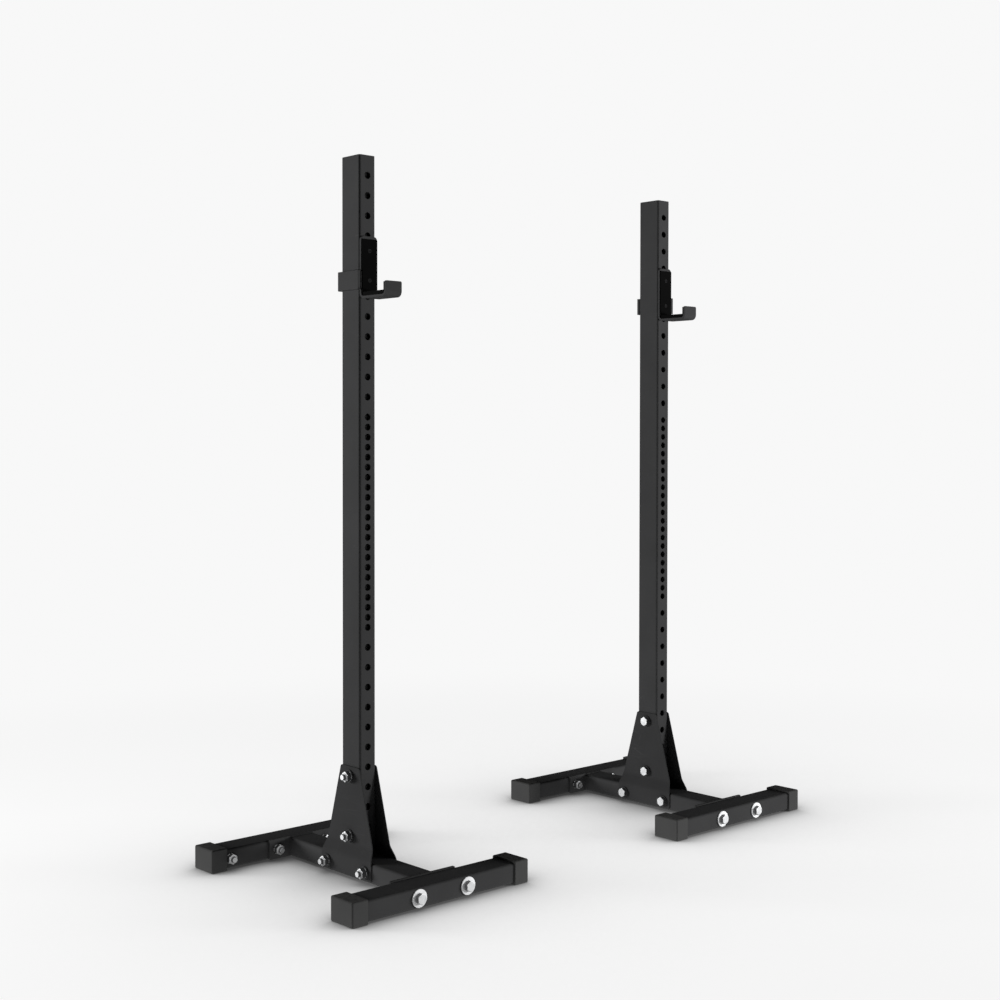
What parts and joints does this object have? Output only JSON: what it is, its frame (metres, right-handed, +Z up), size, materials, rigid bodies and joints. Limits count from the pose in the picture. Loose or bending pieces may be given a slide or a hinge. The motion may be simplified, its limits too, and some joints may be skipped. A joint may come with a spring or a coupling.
{
  "type": "squat stand",
  "caption": "Pair of free-standing uprights on I-shaped bases, each with a pin-located bar cup that turns outwards to come off.",
  "frame": {"origin": "on the floor, midway between the two uprights, at the middle of their bases", "axes": "+Z up, X along the bar from the left stand to the right one, -Y the side that the cups stand on"},
  "size_m": [1.669, 0.701, 1.8339],
  "materials": {
    "powder_coat": "satin black powder coat",
    "zinc": "bright zinc plate",
    "rubber": "matte black moulded rubber",
    "black_plastic": "moulded black plastic",
    "liner": "machined black polyethylene",
    "screw_steel": "black oxide"
  },
  "bodies": {
    "stands": {"left_upright": "powder_coat", "left_upright_top_plug": "black_plastic", "left_gusset_outer": "powder_coat", "left_gusset_inner": "powder_coat", "left_centre_tube": "powder_coat", "left_front_flange": "powder_coat", "left_rear_flange": "powder_coat", "left_front_cross_tube": "powder_coat", "left_rear_cross_tube": "powder_coat", "left_front_outer_cap": "rubber", "left_front_inner_cap": "rubber", "left_rear_outer_cap": "rubber", "left_rear_inner_cap": "rubber", "left_gusset_low_bolt": "zinc", "left_gusset_high_bolt": "zinc", "left_gusset_front_bolt": "zinc", "left_gusset_rear_bolt": "zinc", "left_front_outer_bolt": "zinc", "left_front_inner_bolt": "zinc", "left_rear_outer_bolt": "zinc", "left_rear_inner_bolt": "zinc", "left_rear_end_bolt": "zinc", "right_upright": "powder_coat", "right_upright_top_plug": "black_plastic", "right_gusset_outer": "powder_coat", "right_gusset_inner": "powder_coat", "right_centre_tube": "powder_coat", "right_front_flange": "powder_coat", "right_rear_flange": "powder_coat", "right_front_cross_tube": "powder_coat", "right_rear_cross_tube": "powder_coat", "right_front_outer_cap": "rubber", "right_front_inner_cap": "rubber", "right_rear_outer_cap": "rubber", "right_rear_inner_cap": "rubber", "right_gusset_low_bolt": "zinc", "right_gusset_high_bolt": "zinc", "right_gusset_front_bolt": "zinc", "right_gusset_rear_bolt": "zinc", "right_front_outer_bolt": "zinc", "right_front_inner_bolt": "zinc", "right_rear_outer_bolt": "zinc", "right_rear_inner_bolt": "zinc", "right_rear_end_bolt": "zinc"},
    "left_jcup": {"left_jcup_bracket": "powder_coat", "left_jcup_strap": "powder_coat", "left_jcup_pin": "zinc", "left_jcup_back_liner": "liner", "left_jcup_arm_liner": "liner", "left_jcup_low_screw": "screw_steel", "left_jcup_high_screw": "screw_steel", "left_jcup_seat_screw": "screw_steel"},
    "right_jcup": {"right_jcup_bracket": "powder_coat", "right_jcup_strap": "powder_coat", "right_jcup_pin": "zinc", "right_jcup_back_liner": "liner", "right_jcup_arm_liner": "liner", "right_jcup_low_screw": "screw_steel", "right_jcup_high_screw": "screw_steel", "right_jcup_seat_screw": "screw_steel"}
  },
  "joints": [
    {"name": "left_jcup_turn", "type": "hinge", "parent": "stands", "child": "left_jcup", "pos_m": [-0.5588, -0.0381, 1.5799], "axis": [0, 1, 0], "range_deg": [0, 90]},
    {"name": "right_jcup_turn", "type": "hinge", "parent": "stands", "child": "right_jcup", "pos_m": [0.5588, -0.0381, 1.5799], "axis": [0, -1, 0], "range_deg": [0, 90]}
  ]
}
